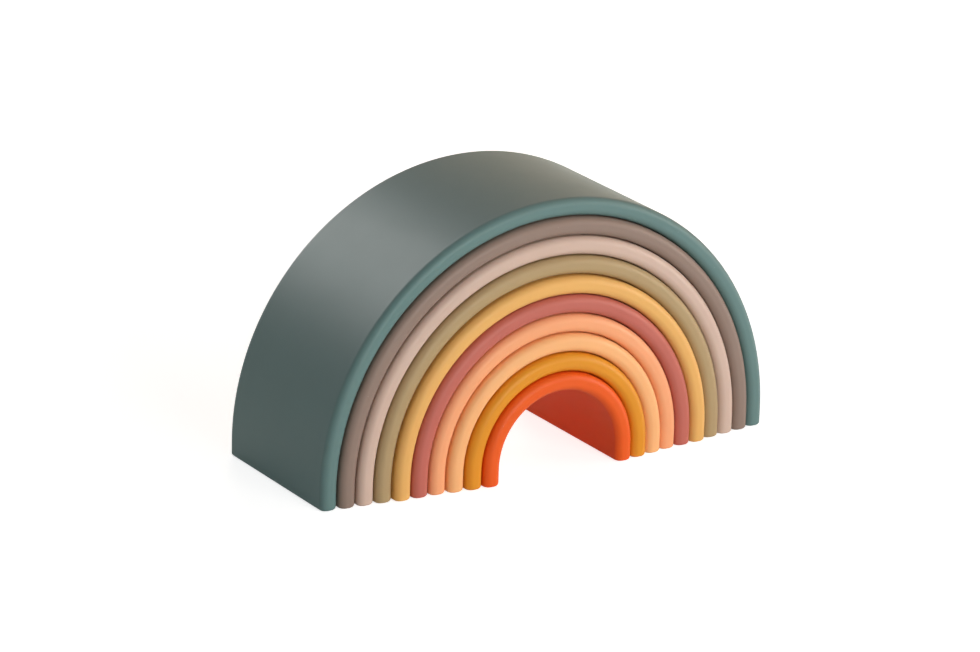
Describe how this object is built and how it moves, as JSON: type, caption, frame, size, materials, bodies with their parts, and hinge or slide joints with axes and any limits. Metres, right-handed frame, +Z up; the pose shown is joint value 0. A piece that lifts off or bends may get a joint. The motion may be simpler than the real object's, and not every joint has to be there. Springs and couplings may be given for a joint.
{
  "type": "rainbow stacker",
  "caption": "Nesting rainbow toy: loose moulded silicone arches in stepped sizes stand one inside another, slide out at the front or back and stack freely.",
  "frame": {"origin": "on the floor under the middle of the nested set", "axes": "+X to the right across the arches, +Y from the front of the toy to its back, +Z up"},
  "size_m": [0.2, 0.078, 0.1067],
  "materials": {
    "teal_silicone": "satin moulded silicone",
    "taupe_silicone": "satin moulded silicone",
    "blush_silicone": "satin moulded silicone",
    "olive_silicone": "satin moulded silicone",
    "honey_silicone": "satin moulded silicone",
    "rose_silicone": "satin moulded silicone",
    "coral_silicone": "satin moulded silicone",
    "apricot_silicone": "satin moulded silicone",
    "ochre_silicone": "satin moulded silicone",
    "orange_silicone": "satin moulded silicone"
  },
  "bodies": {
    "teal_arch": {"teal_arch": "teal_silicone"},
    "taupe_arch": {"taupe_arch": "taupe_silicone"},
    "blush_arch": {"blush_arch": "blush_silicone"},
    "olive_arch": {"olive_arch": "olive_silicone"},
    "honey_arch": {"honey_arch": "honey_silicone"},
    "rose_arch": {"rose_arch": "rose_silicone"},
    "coral_arch": {"coral_arch": "coral_silicone"},
    "apricot_arch": {"apricot_arch": "apricot_silicone"},
    "ochre_arch": {"ochre_arch": "ochre_silicone"},
    "orange_arch": {"orange_arch": "orange_silicone"}
  },
  "joints": [
    {"name": "taupe_slide", "type": "slide", "parent": "teal_arch", "child": "taupe_arch", "axis": [0, -1, 0], "range_m": [-0.09, 0.09]},
    {"name": "blush_slide", "type": "slide", "parent": "teal_arch", "child": "blush_arch", "axis": [0, -1, 0], "range_m": [-0.09, 0.09]},
    {"name": "olive_slide", "type": "slide", "parent": "teal_arch", "child": "olive_arch", "axis": [0, -1, 0], "range_m": [-0.09, 0.09]},
    {"name": "honey_slide", "type": "slide", "parent": "teal_arch", "child": "honey_arch", "axis": [0, -1, 0], "range_m": [-0.09, 0.09]},
    {"name": "rose_slide", "type": "slide", "parent": "teal_arch", "child": "rose_arch", "axis": [0, -1, 0], "range_m": [-0.09, 0.09]},
    {"name": "coral_slide", "type": "slide", "parent": "teal_arch", "child": "coral_arch", "axis": [0, -1, 0], "range_m": [-0.09, 0.09]},
    {"name": "apricot_slide", "type": "slide", "parent": "teal_arch", "child": "apricot_arch", "axis": [0, -1, 0], "range_m": [-0.09, 0.09]},
    {"name": "ochre_slide", "type": "slide", "parent": "teal_arch", "child": "ochre_arch", "axis": [0, -1, 0], "range_m": [-0.09, 0.09]},
    {"name": "orange_slide", "type": "slide", "parent": "teal_arch", "child": "orange_arch", "axis": [0, -1, 0], "range_m": [-0.09, 0.09]}
  ]
}
